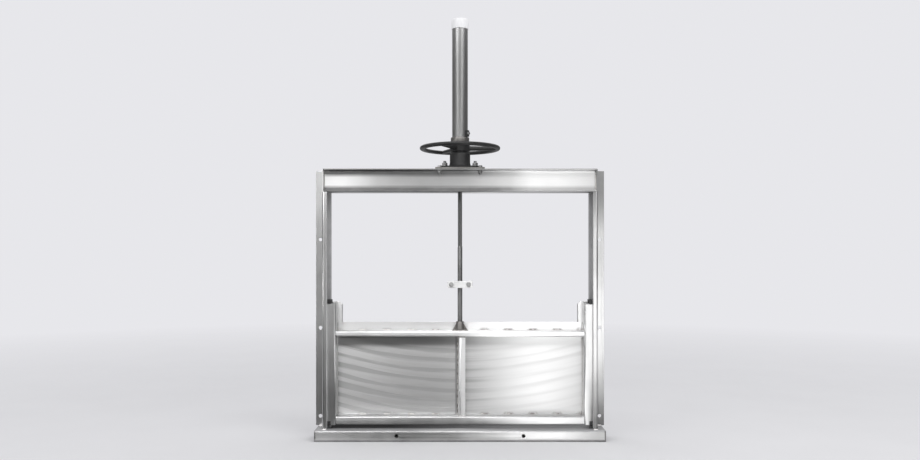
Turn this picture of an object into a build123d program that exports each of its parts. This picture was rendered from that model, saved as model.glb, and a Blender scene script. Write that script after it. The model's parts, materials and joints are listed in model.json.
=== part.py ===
"""Wall-mounted sluice gate with a rising stem and a hooded handwheel, in millimetres.

X runs across the gate, +Y into the wall and Z up. The wall face is Y = 0 and the sill stands on Z = 0.
"""
import os

from build123d import *

os.makedirs("parts", exist_ok=True)

# Sheet and bar thicknesses
SHEET = 5.0
BEND = 8.0
YOKE_SHEET = 6.0
YOKE_BEND = 10.0
PLATE = 6.0
BAR = 6.0

# Running clearances
SLIDE_CLEAR = 5.0
SIDE_CLEAR = 8.0
STEM_CLEAR = 0.3
HUB_CLEAR = 0.3

# Side guides
GUIDE_OUT = 695.0
GUIDE_IN = GUIDE_OUT - SHEET
GUIDE_DEPTH = 120.0
GUIDE_LIP = 23.0
GUIDE_HEIGHT = 1200.0

# Sill
SILL_OVERHANG = 35.0
SILL_HALF = GUIDE_OUT + SILL_OVERHANG
SILL_DEPTH = 150.0
SILL_TOP = 55.0
SILL_HOLE_X = 318.0
SILL_HOLE_DROP = 25.0
SILL_HOLE_Z = SILL_TOP - SILL_HOLE_DROP

# Wall bars and anchor holes
BAR_INSET = 30.0
BAR_FLANGE = 50.0
BAR_IN = GUIDE_OUT - BAR_INSET
BAR_OUT = GUIDE_OUT + BAR_FLANGE
ANCHOR_HOLE_R = 9.0
ANCHOR_EDGE = 23.0
ANCHOR_X = BAR_OUT - ANCHOR_EDGE
ANCHOR_RISE = 49.0
ANCHOR_PITCH = 456.0
ANCHORS = 3

# Slides and seals
SLIDE_WIDTH = GUIDE_LIP - BEND
FRONT_SLIDE = 12.0
REAR_SEAL = 15.0
REAR_SEAL_WIDTH = 21.0
REAR_SEAL_ROUND = 4.0
SILL_SEAL_HEIGHT = 19.0
SILL_SEAL_DEPTH = 40.0
SILL_SEAL_INSET = 3.0
SILL_SEAL_END = 10.0
SILL_SEAL_HALF = BAR_IN - SILL_SEAL_END

# Yoke
YOKE_BOTTOM = SILL_TOP + GUIDE_HEIGHT
YOKE_HEIGHT = 115.0
YOKE_TOP = YOKE_BOTTOM + YOKE_HEIGHT
YOKE_FLANGE = 48.0
YOKE_GAP = 32.0
STEM_Y = -64.0
YOKE_FRONT = STEM_Y - YOKE_GAP / 2 - YOKE_FLANGE
BASE_HALF = 125.0
BASE_THICK = 8.0
BASE_HOLE_R = 20.0
BASE_TOP = YOKE_TOP + BASE_THICK

# Gate leaf
GATE_BACK = -(BAR + REAR_SEAL + SLIDE_CLEAR)
GATE_FACE = GATE_BACK - PLATE
GATE_FRONT = -(GUIDE_DEPTH - SHEET - FRONT_SLIDE - SLIDE_CLEAR)
GATE_HALF = GUIDE_IN - SIDE_CLEAR
GATE_BOTTOM = SILL_TOP + SILL_SEAL_HEIGHT
GATE_HEIGHT = 518.0
GATE_TOP = GATE_BOTTOM + GATE_HEIGHT
EAR_HEIGHT = 105.0
EAR_TOP = GATE_TOP + EAR_HEIGHT
EAR_WIDTH = 79.0
EAR_IN = GATE_HALF - EAR_WIDTH
EAR_LIP = 30.0
EAR_CUT = 14.0
SIDE_BAR_INSET = 52.0
SIDE_BAR_IN = GATE_HALF - SIDE_BAR_INSET
SIDE_BAR_SLANT = 12.0
TOP_RIB_DROP = 42.0
TOP_RIB_TOP = GATE_TOP - TOP_RIB_DROP
TOP_RIB_HEIGHT = 29.0
TOP_RIB_BOTTOM = TOP_RIB_TOP - TOP_RIB_HEIGHT
BOTTOM_RIB_HEIGHT = 44.0
BOTTOM_RIB_TOP = GATE_BOTTOM + BOTTOM_RIB_HEIGHT
CENTRE_RIB_X = -10.0
CENTRE_RIB_LEG = 37.0
CENTRE_RIB_BEND = 16.0
CENTRE_RIB_DEPTH = 60.0
SHOE_WIDTH = 27.0
SHOE_IN = GATE_HALF - SHOE_WIDTH
SHOE_HEIGHT = 20.0
SHOE_RISE = 12.0
UPPER_SHOE_BOTTOM = EAR_TOP + SHOE_RISE - SHOE_HEIGHT

# Stem foot and stop clamp
STEM_R = 12.0
STEM_CHAMFER = 3.0
FOOT_HALF = 36.0
FOOT_DEPTH = 50.0
FOOT_PLATE = 6.0
FOOT_TOP = TOP_RIB_TOP + FOOT_PLATE
SOCKET_R = 19.0
SOCKET_HEIGHT = 47.0
SOCKET_TOP = TOP_RIB_TOP + SOCKET_HEIGHT
GUSSET_INSET = 4.0
CLAMP_HEIGHT = 35.0
CLAMP_RISE = 171.0
CLAMP_BOTTOM = SOCKET_TOP + CLAMP_RISE
CLAMP_HALF = 64.0
CLAMP_LUG = 15.0
CLAMP_BOSS_HALF = 26.0
CLAMP_BOSS = 27.0
CLAMP_SPLIT = 1.0

# Pedestal
FOOT_FLANGE_X = 190.0
FOOT_FLANGE_Y = 112.0
FOOT_FLANGE = 8.0
FOOT_CORNER_R = 24.0
PEDESTAL_HEIGHT = 77.0
PEDESTAL_TOP = BASE_TOP + PEDESTAL_HEIGHT
PEDESTAL_R = 52.0
PEDESTAL_FLARE_R = 56.0
PEDESTAL_FLARE = 12.0
PEDESTAL_TAPER = 14.0
PEDESTAL_CHAMFER = 4.0
PEDESTAL_BORE_R = 18.0
THRUST_RING = 4.0
THRUST_RING_R = 46.0
THRUST_RING_IN = 20.0

# Handwheel
HUB_R = 50.0
HUB_CHAMFER = 4.0
HUB_BOTTOM = PEDESTAL_TOP + THRUST_RING + HUB_CLEAR
HUB_HEIGHT = 44.7
HUB_TOP = HUB_BOTTOM + HUB_HEIGHT
NUT_R = 22.0
RIM_R = 191.5
RIM_WIDTH = 27.0
RIM_HEIGHT = 19.0
RIM_RISE = 19.7
RIM_Z = HUB_BOTTOM + RIM_RISE
SPOKES = 3
SPOKE_IN_R = 13.0
SPOKE_OUT_R = 8.5
SPOKE_ROOT = (HUB_R + NUT_R) / 2

# Hood over the rising stem
STEM_ABOVE_HUB = 96.0
STEM_TOP = HUB_TOP + STEM_ABOVE_HUB
COLLAR_R = 47.0
COLLAR_HEIGHT = 31.0
COLLAR_CHAMFER = 3.0
TUBE_R = 40.0
TUBE_WALL = 2.5
TUBE_LENGTH = 622.0
TUBE_TOP = HUB_TOP + TUBE_LENGTH
CAP_R = 43.0
CAP_OVERLAP = 40.0
CAP_BOTTOM = TUBE_TOP - CAP_OVERLAP
CAP_ROOF = 12.0
CAP_TOP = TUBE_TOP + CAP_ROOF
CAP_CHAMFER = 6.0
LUG_REACH = 55.0
LUG_WIDTH = 16.0
LUG_HEIGHT = 32.0
LUG_ANGLE = -40.0

STEM_AXIS = Axis((0, STEM_Y, 0), (0, 0, 1))
STEM_PLANE = Plane(origin=(0, STEM_Y, 0), x_dir=(1, 0, 0), z_dir=(0, -1, 0))


# Sill: folded sheet, open below, drilled through both walls
with BuildPart() as sill:
    with BuildSketch(Plane.YZ.offset(-SILL_HALF)):
        with BuildLine():
            FilletPolyline((-SILL_DEPTH, 0), (-SILL_DEPTH, SILL_TOP), (0, SILL_TOP), (0, 0), radius=BEND)
            offset(amount=SHEET, side=Side.RIGHT)
        make_face()
    extrude(amount=2 * SILL_HALF)
    with BuildSketch(Plane.XZ):
        with Locations((-SILL_HOLE_X, SILL_HOLE_Z), (SILL_HOLE_X, SILL_HOLE_Z)):
            Circle(ANCHOR_HOLE_R)
    extrude(amount=SILL_DEPTH, mode=Mode.SUBTRACT)
sill.part.label = "sill"
export_step(sill.part, "parts/sill.step")

# Guide: folded angle, its web carried up past the yoke
with BuildPart() as guide_right:
    with BuildSketch(Plane.XY.offset(SILL_TOP)):
        with BuildLine():
            FilletPolyline(
                (GUIDE_OUT - GUIDE_LIP, -GUIDE_DEPTH),
                (GUIDE_OUT, -GUIDE_DEPTH),
                (GUIDE_OUT, -BAR),
                radius=BEND,
            )
            offset(amount=SHEET, side=Side.LEFT)
        make_face()
    extrude(amount=GUIDE_HEIGHT)
    with BuildSketch(Plane.XY.offset(YOKE_BOTTOM)):
        with Locations((GUIDE_IN + SHEET / 2, -BAR)):
            Rectangle(SHEET, GUIDE_DEPTH - BEND - BAR, align=(Align.CENTER, Align.MAX))
    extrude(amount=YOKE_HEIGHT)
with BuildPart() as guide_left:
    mirror(guide_right.part, about=Plane.YZ)

# Wall bar: flat bar behind each guide, drilled for the wall anchors
with BuildPart() as wall_bar_right:
    with BuildSketch(Plane.XZ):
        with Locations((BAR_IN, SILL_TOP)):
            Rectangle(BAR_OUT - BAR_IN, YOKE_TOP - SILL_TOP, align=(Align.MIN, Align.MIN))
        with Locations(*[(ANCHOR_X, SILL_TOP + ANCHOR_RISE + i * ANCHOR_PITCH) for i in range(ANCHORS)]):
            Circle(ANCHOR_HOLE_R, mode=Mode.SUBTRACT)
    extrude(amount=BAR)
with BuildPart() as wall_bar_left:
    mirror(wall_bar_right.part, about=Plane.YZ)

# Front slide: plastic strip inside the guide's front flange
with BuildPart() as front_slide_right:
    with BuildSketch(Plane.XY.offset(SILL_TOP)):
        with Locations((GUIDE_OUT - GUIDE_LIP, -GUIDE_DEPTH + SHEET)):
            Rectangle(SLIDE_WIDTH, FRONT_SLIDE, align=(Align.MIN, Align.MIN))
    extrude(amount=GUIDE_HEIGHT)
with BuildPart() as front_slide_left:
    mirror(front_slide_right.part, about=Plane.YZ)

# Rear seal: rubber strip on the wall bar, with a rounded running face
with BuildPart() as rear_seal_right:
    with BuildSketch(Plane.XY.offset(SILL_TOP)) as rear_seal_section:
        with Locations((BAR_IN, -BAR)):
            Rectangle(REAR_SEAL_WIDTH, REAR_SEAL, align=(Align.MIN, Align.MAX))
        fillet(rear_seal_section.vertices().group_by(Axis.Y)[0], radius=REAR_SEAL_ROUND)
    extrude(amount=GUIDE_HEIGHT)
with BuildPart() as rear_seal_left:
    mirror(rear_seal_right.part, about=Plane.YZ)

# Sill seal: rubber strip that the gate closes on
with BuildPart() as sill_seal:
    with BuildSketch(Plane.XY.offset(SILL_TOP)):
        with Locations((0, GATE_FACE - SILL_SEAL_INSET)):
            Rectangle(2 * SILL_SEAL_HALF, SILL_SEAL_DEPTH, align=(Align.CENTER, Align.MAX))
    extrude(amount=SILL_SEAL_HEIGHT)
sill_seal.part.label = "sill_seal"
export_step(sill_seal.part, "parts/sill_seal.step")

# Yoke: two channels back to back, the stem rising in the gap between their webs
with BuildPart() as yoke_front:
    with BuildSketch(Plane.YZ.offset(-GUIDE_IN)):
        with BuildLine():
            FilletPolyline(
                (YOKE_FRONT, YOKE_BOTTOM),
                (YOKE_FRONT + YOKE_FLANGE, YOKE_BOTTOM),
                (YOKE_FRONT + YOKE_FLANGE, YOKE_TOP),
                (YOKE_FRONT, YOKE_TOP),
                radius=YOKE_BEND,
            )
            offset(amount=YOKE_SHEET, side=Side.LEFT)
        make_face()
    extrude(amount=2 * GUIDE_IN)
yoke_front.part.label = "yoke_front"
export_step(yoke_front.part, "parts/yoke_front.step")

with BuildPart() as yoke_rear:
    with BuildSketch(Plane.YZ.offset(-GUIDE_IN)):
        with BuildLine():
            FilletPolyline(
                (-BAR, YOKE_BOTTOM),
                (STEM_Y + YOKE_GAP / 2, YOKE_BOTTOM),
                (STEM_Y + YOKE_GAP / 2, YOKE_TOP),
                (-BAR, YOKE_TOP),
                radius=YOKE_BEND,
            )
            offset(amount=YOKE_SHEET, side=Side.RIGHT)
        make_face()
    extrude(amount=2 * GUIDE_IN)
yoke_rear.part.label = "yoke_rear"
export_step(yoke_rear.part, "parts/yoke_rear.step")

# Base plate: ties the two channels together under the pedestal
with BuildPart() as base_plate:
    with BuildSketch(Plane.XY.offset(YOKE_TOP)):
        with Locations((0, YOKE_FRONT)):
            Rectangle(2 * BASE_HALF, -BAR - YOKE_FRONT, align=(Align.CENTER, Align.MIN))
        with Locations((0, STEM_Y)):
            Circle(BASE_HOLE_R, mode=Mode.SUBTRACT)
    extrude(amount=BASE_THICK)
base_plate.part.label = "base_plate"
export_step(base_plate.part, "parts/base_plate.step")

# Pedestal: flanged casting that carries the handwheel
with BuildPart() as pedestal:
    with BuildSketch(Plane.XY.offset(BASE_TOP)):
        with Locations((0, STEM_Y)):
            RectangleRounded(FOOT_FLANGE_X, FOOT_FLANGE_Y, FOOT_CORNER_R)
    extrude(amount=FOOT_FLANGE)
    with BuildSketch(STEM_PLANE):
        with BuildLine():
            Polyline(
                (0, BASE_TOP),
                (PEDESTAL_FLARE_R, BASE_TOP),
                (PEDESTAL_FLARE_R, BASE_TOP + PEDESTAL_FLARE),
                (PEDESTAL_R, BASE_TOP + PEDESTAL_FLARE + PEDESTAL_TAPER),
                (PEDESTAL_R, PEDESTAL_TOP - PEDESTAL_CHAMFER),
                (PEDESTAL_R - PEDESTAL_CHAMFER, PEDESTAL_TOP),
                (0, PEDESTAL_TOP),
                close=True,
            )
        make_face()
    revolve(axis=STEM_AXIS)
    with BuildSketch(Plane.XY.offset(BASE_TOP)):
        with Locations((0, STEM_Y)):
            Circle(PEDESTAL_BORE_R)
    extrude(amount=PEDESTAL_HEIGHT, mode=Mode.SUBTRACT)
pedestal.part.label = "pedestal"
export_step(pedestal.part, "parts/pedestal.step")

# Thrust ring: the handwheel turns on it
with BuildPart() as thrust_ring:
    with BuildSketch(Plane.XY.offset(PEDESTAL_TOP)):
        with Locations((0, STEM_Y)):
            Circle(THRUST_RING_R)
            Circle(THRUST_RING_IN, mode=Mode.SUBTRACT)
    extrude(amount=THRUST_RING)
thrust_ring.part.label = "thrust_ring"
export_step(thrust_ring.part, "parts/thrust_ring.step")

# Gate plate: skin with two raised ears, each ear with a folded inner lip
with BuildPart() as gate_plate:
    with BuildSketch(Plane.XZ.offset(-GATE_BACK)):
        with BuildLine():
            Polyline(
                (-GATE_HALF, GATE_BOTTOM),
                (GATE_HALF, GATE_BOTTOM),
                (GATE_HALF, EAR_TOP),
                (EAR_IN + EAR_CUT, EAR_TOP),
                (EAR_IN, EAR_TOP - EAR_CUT),
                (EAR_IN, GATE_TOP),
                (-EAR_IN, GATE_TOP),
                (-EAR_IN, EAR_TOP - EAR_CUT),
                (-EAR_IN - EAR_CUT, EAR_TOP),
                (-GATE_HALF, EAR_TOP),
                close=True,
            )
        make_face()
    extrude(amount=PLATE)
    with BuildSketch(Plane.XZ.offset(-GATE_FACE)):
        for side in (-1, 1):
            with Locations((side * (EAR_IN + SHEET / 2), GATE_TOP)):
                Rectangle(SHEET, EAR_TOP - EAR_CUT - GATE_TOP, align=(Align.CENTER, Align.MIN))
    extrude(amount=EAR_LIP)
gate_plate.part.label = "gate_plate"
export_step(gate_plate.part, "parts/gate_plate.step")

# Side bar: angle up each edge of the gate, running behind the guide's lip, its top cut at a slant
with BuildPart() as side_bar_right:
    with BuildSketch(Plane.XY.offset(GATE_BOTTOM)):
        with BuildLine():
            FilletPolyline(
                (SIDE_BAR_IN, GATE_FACE), (SIDE_BAR_IN, GATE_FRONT), (GATE_HALF, GATE_FRONT), radius=BEND
            )
            offset(amount=SHEET, side=Side.LEFT)
        make_face()
    extrude(amount=EAR_TOP - GATE_BOTTOM)
    with BuildSketch(Plane.YZ.offset(SIDE_BAR_IN)):
        with BuildLine():
            Polyline(
                (GATE_FRONT, EAR_TOP - SIDE_BAR_SLANT),
                (GATE_FRONT + SIDE_BAR_SLANT, EAR_TOP),
                (GATE_FRONT, EAR_TOP),
                close=True,
            )
        make_face()
    extrude(amount=SIDE_BAR_INSET, mode=Mode.SUBTRACT)
    for low in (GATE_BOTTOM, UPPER_SHOE_BOTTOM):
        with BuildSketch(Plane.XY.offset(low)):
            with Locations((SHOE_IN, GATE_FACE)):
                Rectangle(SHOE_WIDTH, GATE_FACE - GATE_FRONT, align=(Align.MIN, Align.MAX))
        extrude(amount=SHOE_HEIGHT, mode=Mode.SUBTRACT)
with BuildPart() as side_bar_left:
    mirror(side_bar_right.part, about=Plane.YZ)

# Cross ribs: folded channels between the side bars, at the top and the bottom of the gate
for name, low, high in (
    ("top_rib", TOP_RIB_BOTTOM, TOP_RIB_TOP),
    ("bottom_rib", GATE_BOTTOM, BOTTOM_RIB_TOP),
):
    with BuildPart() as rib:
        with BuildSketch(Plane.YZ.offset(-SIDE_BAR_IN)):
            with BuildLine():
                FilletPolyline(
                    (GATE_FACE, low),
                    (GATE_FRONT, low),
                    (GATE_FRONT, high),
                    (GATE_FACE, high),
                    radius=BEND,
                )
                offset(amount=SHEET, side=Side.RIGHT)
            make_face()
        extrude(amount=2 * SIDE_BAR_IN)
    rib.part.label = name
    export_step(rib.part, f"parts/{name}.step")

# Centre rib: upright angle between the two cross ribs
with BuildPart() as centre_rib:
    with BuildSketch(Plane.XY.offset(BOTTOM_RIB_TOP)):
        with BuildLine():
            FilletPolyline(
                (CENTRE_RIB_X, GATE_FACE),
                (CENTRE_RIB_X, GATE_FACE - CENTRE_RIB_DEPTH),
                (CENTRE_RIB_X + CENTRE_RIB_LEG, GATE_FACE - CENTRE_RIB_DEPTH),
                radius=CENTRE_RIB_BEND,
            )
            offset(amount=SHEET, side=Side.LEFT)
        make_face()
    extrude(amount=TOP_RIB_BOTTOM - BOTTOM_RIB_TOP)
centre_rib.part.label = "centre_rib"
export_step(centre_rib.part, "parts/centre_rib.step")

# Guide shoes: plastic blocks at the top and foot of each side bar that run inside the guides
with BuildPart() as upper_shoe_right:
    with BuildSketch(Plane.XY.offset(UPPER_SHOE_BOTTOM)):
        with Locations((SHOE_IN, GATE_FACE)):
            Rectangle(SHOE_WIDTH, GATE_FACE - GATE_FRONT, align=(Align.MIN, Align.MAX))
    extrude(amount=SHOE_HEIGHT)
with BuildPart() as upper_shoe_left:
    mirror(upper_shoe_right.part, about=Plane.YZ)
with BuildPart() as lower_shoe_right:
    with BuildSketch(Plane.XY.offset(GATE_BOTTOM)):
        with Locations((SHOE_IN, GATE_FACE)):
            Rectangle(SHOE_WIDTH, GATE_FACE - GATE_FRONT, align=(Align.MIN, Align.MAX))
    extrude(amount=SHOE_HEIGHT)
with BuildPart() as lower_shoe_left:
    mirror(lower_shoe_right.part, about=Plane.YZ)

for name, piece in (
    ("guide_right", guide_right),
    ("guide_left", guide_left),
    ("wall_bar_right", wall_bar_right),
    ("wall_bar_left", wall_bar_left),
    ("front_slide_right", front_slide_right),
    ("front_slide_left", front_slide_left),
    ("rear_seal_right", rear_seal_right),
    ("rear_seal_left", rear_seal_left),
    ("side_bar_right", side_bar_right),
    ("side_bar_left", side_bar_left),
    ("upper_shoe_right", upper_shoe_right),
    ("upper_shoe_left", upper_shoe_left),
    ("lower_shoe_right", lower_shoe_right),
    ("lower_shoe_left", lower_shoe_left),
):
    piece.part.label = name
    export_step(piece.part, f"parts/{name}.step")

# Stem foot: base, socket and two side gussets, welded on the top rib
with BuildPart() as stem_foot:
    with BuildSketch(Plane.XY.offset(TOP_RIB_TOP)):
        with Locations((0, STEM_Y)):
            Rectangle(2 * FOOT_HALF, FOOT_DEPTH)
    extrude(amount=FOOT_PLATE)
    with BuildSketch(Plane.XY.offset(TOP_RIB_TOP)):
        with Locations((0, STEM_Y)):
            Circle(SOCKET_R)
    extrude(amount=SOCKET_HEIGHT)
    with BuildSketch(STEM_PLANE):
        with BuildLine():
            Polyline(
                (-FOOT_HALF, FOOT_TOP),
                (FOOT_HALF, FOOT_TOP),
                (SOCKET_R - GUSSET_INSET, SOCKET_TOP - GUSSET_INSET),
                (GUSSET_INSET - SOCKET_R, SOCKET_TOP - GUSSET_INSET),
                close=True,
            )
        make_face()
    extrude(amount=SHEET / 2, both=True)
    with BuildSketch(Plane.XY.offset(FOOT_TOP)):
        with Locations((0, STEM_Y)):
            Circle(STEM_R)
    extrude(amount=SOCKET_HEIGHT, mode=Mode.SUBTRACT)
stem_foot.part.label = "stem_foot"
export_step(stem_foot.part, "parts/stem_foot.step")

# Stem: one bar from the foot up into the hood, pointed at the top
with BuildPart() as stem:
    with BuildSketch(Plane.XY.offset(FOOT_TOP)):
        with Locations((0, STEM_Y)):
            Circle(STEM_R)
    extrude(amount=STEM_TOP - FOOT_TOP)
    chamfer(stem.edges().sort_by(Axis.Z)[-1], length=STEM_CHAMFER)
stem.part.label = "stem"
export_step(stem.part, "parts/stem.step")

# Stop clamp: two halves bolted round the stem, met by the yoke when the gate is fully raised
for name, facing in (("stop_clamp_front", -1), ("stop_clamp_rear", 1)):
    with BuildPart() as clamp:
        with BuildSketch(Plane.XY.offset(CLAMP_BOTTOM)):
            with Locations((0, STEM_Y + facing * (CLAMP_SPLIT + CLAMP_LUG / 2))):
                Rectangle(2 * CLAMP_HALF, CLAMP_LUG)
            with Locations((0, STEM_Y + facing * (CLAMP_SPLIT + CLAMP_BOSS / 2))):
                Rectangle(2 * CLAMP_BOSS_HALF, CLAMP_BOSS)
            with Locations((0, STEM_Y)):
                Circle(STEM_R, mode=Mode.SUBTRACT)
        extrude(amount=CLAMP_HEIGHT)
    clamp.part.label = name
    export_step(clamp.part, f"parts/{name}.step")

# Handwheel: rounded flat rim, tapered spokes and a turned hub
with BuildPart() as handwheel:
    with BuildSketch(STEM_PLANE):
        with Locations((RIM_R, RIM_Z)):
            SlotOverall(RIM_WIDTH, RIM_HEIGHT)
    revolve(axis=STEM_AXIS)
    with BuildSketch(STEM_PLANE):
        with BuildLine():
            Polyline(
                (0, HUB_BOTTOM),
                (HUB_R - HUB_CHAMFER, HUB_BOTTOM),
                (HUB_R, HUB_BOTTOM + HUB_CHAMFER),
                (HUB_R, HUB_TOP - HUB_CHAMFER),
                (HUB_R - HUB_CHAMFER, HUB_TOP),
                (0, HUB_TOP),
                close=True,
            )
        make_face()
    revolve(axis=STEM_AXIS)
    for i in range(SPOKES):
        outward = Vector(1, 0, 0).rotate(Axis.Z, i * 360 / SPOKES)
        spoke_plane = Plane(origin=(0, STEM_Y, RIM_Z), x_dir=outward, z_dir=outward.rotate(Axis.Z, -90))
        with BuildSketch(spoke_plane):
            with BuildLine():
                Polyline(
                    (SPOKE_ROOT, 0),
                    (RIM_R, 0),
                    (RIM_R, SPOKE_OUT_R),
                    (SPOKE_ROOT, SPOKE_IN_R),
                    close=True,
                )
            make_face()
        revolve(axis=Axis((0, STEM_Y, RIM_Z), outward))
    with BuildSketch(Plane.XY.offset(HUB_BOTTOM)):
        with Locations((0, STEM_Y)):
            Circle(NUT_R)
    extrude(amount=HUB_HEIGHT, mode=Mode.SUBTRACT)
handwheel.part.label = "handwheel"
export_step(handwheel.part, "parts/handwheel.step")

# Stem nut: bronze bush in the hub
with BuildPart() as stem_nut:
    with BuildSketch(Plane.XY.offset(HUB_BOTTOM)):
        with Locations((0, STEM_Y)):
            Circle(NUT_R)
            Circle(STEM_R + STEM_CLEAR, mode=Mode.SUBTRACT)
    extrude(amount=HUB_HEIGHT)
stem_nut.part.label = "stem_nut"
export_step(stem_nut.part, "parts/stem_nut.step")

# Hood collar: ring that holds the tube on the hub
with BuildPart() as hood_collar:
    with BuildSketch(Plane.XY.offset(HUB_TOP)):
        with Locations((0, STEM_Y)):
            Circle(COLLAR_R)
            Circle(TUBE_R, mode=Mode.SUBTRACT)
    extrude(amount=COLLAR_HEIGHT)
    chamfer(hood_collar.faces().sort_by(Axis.Z)[-1].outer_wire().edges(), length=COLLAR_CHAMFER)
hood_collar.part.label = "hood_collar"
export_step(hood_collar.part, "parts/hood_collar.step")

# Hood lug: takes the lock screw of the hood
with BuildPart() as hood_lug:
    with BuildSketch(Plane.XY.offset(HUB_TOP + COLLAR_HEIGHT)):
        with Locations(Location((0, STEM_Y), LUG_ANGLE)):
            with Locations((LUG_REACH / 2, 0)):
                Rectangle(LUG_REACH, LUG_WIDTH)
        with Locations((0, STEM_Y)):
            Circle(TUBE_R, mode=Mode.SUBTRACT)
    extrude(amount=LUG_HEIGHT)
hood_lug.part.label = "hood_lug"
export_step(hood_lug.part, "parts/hood_lug.step")

# Hood tube: thin tube round the raised stem
with BuildPart() as hood_tube:
    with BuildSketch(Plane.XY.offset(HUB_TOP)):
        with Locations((0, STEM_Y)):
            Circle(TUBE_R)
            Circle(TUBE_R - TUBE_WALL, mode=Mode.SUBTRACT)
    extrude(amount=TUBE_LENGTH)
hood_tube.part.label = "hood_tube"
export_step(hood_tube.part, "parts/hood_tube.step")

# Hood cap: plastic cap pushed over the tube
with BuildPart() as hood_cap:
    with BuildSketch(Plane.XY.offset(CAP_BOTTOM)):
        with Locations((0, STEM_Y)):
            Circle(CAP_R)
    extrude(amount=CAP_TOP - CAP_BOTTOM)
    chamfer(hood_cap.edges().sort_by(Axis.Z)[-1], length=CAP_CHAMFER)
    with BuildSketch(Plane.XY.offset(CAP_BOTTOM)):
        with Locations((0, STEM_Y)):
            Circle(TUBE_R)
    extrude(amount=CAP_OVERLAP, mode=Mode.SUBTRACT)
hood_cap.part.label = "hood_cap"
export_step(hood_cap.part, "parts/hood_cap.step")
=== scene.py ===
"""Looks of the sluice gate: finishes, welds, fasteners, the stem's thread and a plain studio, in metres.

X runs across the gate, +Y into the wall and Z up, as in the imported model.
"""

import json
import math

import bmesh
import bpy
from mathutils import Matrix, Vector, noise


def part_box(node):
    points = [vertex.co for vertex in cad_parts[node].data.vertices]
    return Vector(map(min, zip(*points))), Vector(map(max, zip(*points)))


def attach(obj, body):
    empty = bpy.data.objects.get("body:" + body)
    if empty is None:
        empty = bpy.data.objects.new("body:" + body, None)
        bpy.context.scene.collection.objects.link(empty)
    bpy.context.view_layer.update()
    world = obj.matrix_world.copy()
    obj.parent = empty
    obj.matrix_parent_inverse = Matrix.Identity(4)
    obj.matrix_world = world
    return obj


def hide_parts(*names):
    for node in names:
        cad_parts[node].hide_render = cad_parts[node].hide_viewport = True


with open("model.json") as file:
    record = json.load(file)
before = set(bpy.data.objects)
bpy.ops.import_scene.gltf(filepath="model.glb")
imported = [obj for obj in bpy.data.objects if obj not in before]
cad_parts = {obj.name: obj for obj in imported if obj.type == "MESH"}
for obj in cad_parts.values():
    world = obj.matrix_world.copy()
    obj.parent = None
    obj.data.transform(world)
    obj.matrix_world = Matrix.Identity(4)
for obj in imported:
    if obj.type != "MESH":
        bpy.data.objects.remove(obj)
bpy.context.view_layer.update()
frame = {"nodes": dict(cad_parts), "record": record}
nodes = frame["nodes"]
scene = bpy.context.scene

# Directions
UP = (0, 0, 1)
DOWN = (0, 0, -1)
FRONT = (0, -1, 0)
REAR = (0, 1, 0)
LEFT = (-1, 0, 0)

# The photograph's camera, read from its perspective: a level view 4.3 m in front of the wall
PHOTO_WIDTH = 920
FOCAL_PIXELS = 830
HORIZON_BELOW_CENTRE = 30
CAMERA_PLACE = (0.0, -4.3, 0.91)
SENSOR = 36.0

# Gate plate: its form, and the grid of its skin
PLATE_THICK = 0.006
PLATE_BACK_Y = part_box("gate_plate")[1].y
PLATE_FACE_Y = PLATE_BACK_Y - PLATE_THICK
EAR_HEIGHT = 0.105
EAR_WIDTH = 0.079
EAR_CUT = 0.014
EAR_LIP = 0.03
EAR_LIP_THICK = 0.005
GATE_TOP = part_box("gate_plate")[1].z - EAR_HEIGHT
PLATE_STEP_X = 0.016
PLATE_STEP_Z = 0.006
GRID_SLACK = 1e-6

# Dish of the plate between the ribs, and its rolling ripples, which bow up towards both sides
DISH = 0.0012
RIPPLE = 0.00012
RIPPLE_LENGTH = 0.052
RIPPLE_TROUGH = 0.29
RIPPLE_BOW = 0.225
RIPPLE_WANDER = 0.2
RIPPLE_ONSET = 3

# Welds: short stitches along the ribs and guides, full beads and thin seams
STITCH = 0.038
STITCH_PITCH = 0.125
STITCHES_A_SIDE = 4
GUIDE_STITCH_PITCH = 0.15
BEAD_LEG = 0.0055
SMALL_LEG = 0.004
SEAM_LEG = 0.003
BEAD_RIPPLE = 0.0017
BEAD_LEAST_STEPS = 6
BEAD_SINK = 0.0006
BEAD_ARC = 4
BEAD_BULGE = 0.16
BEAD_TIP = 0.25
BEAD_STEP = 0.07
BEAD_WANDER = 0.1
BEAD_WANDER_SCALE = 90

# Stem thread
THREAD_START = 0.98
THREAD_LEAD = 0.005
THREAD_DEPTH = 0.0025
THREAD_SIDES = 20
THREAD_STEPS = 6
THREAD_RUN_IN = 0.006
FLANK_SLOPE = 3.2
FLANK_START = 0.3
STEM_TIP = 0.004
STEM_TIP_CUT = 0.003

# Fasteners: width across flats, head, nut, washer radius, washer thickness, thread radius
M16 = dict(across=0.024, head=0.010, nut=0.013, washer_r=0.015, washer=0.003, thread_r=0.008)
M12 = dict(across=0.018, head=0.0075, nut=0.0105, washer_r=0.012, washer=0.0025, thread_r=0.006)
M8 = dict(across=0.013, head=0.0053, nut=0.0065, washer_r=0.008, washer=0.0016, thread_r=0.004)

# Outlines of fasteners: shares of the height and of the radius
WASHER_OUTLINE = ((0, 1), (0.7, 1), (1, 0.95))
HEXAGON_OUTLINE = ((0, 0.94), (0.1, 1), (0.86, 1), (1, 0.86))
WASHER_SIDES = 24
THREAD_END_SIDES = 16
THREAD_END_PITCH = 0.25
THREAD_END_ROOT = 0.88
THREAD_END_TIP = ((0.3, 0.95), (0.0, 0.8))

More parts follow.
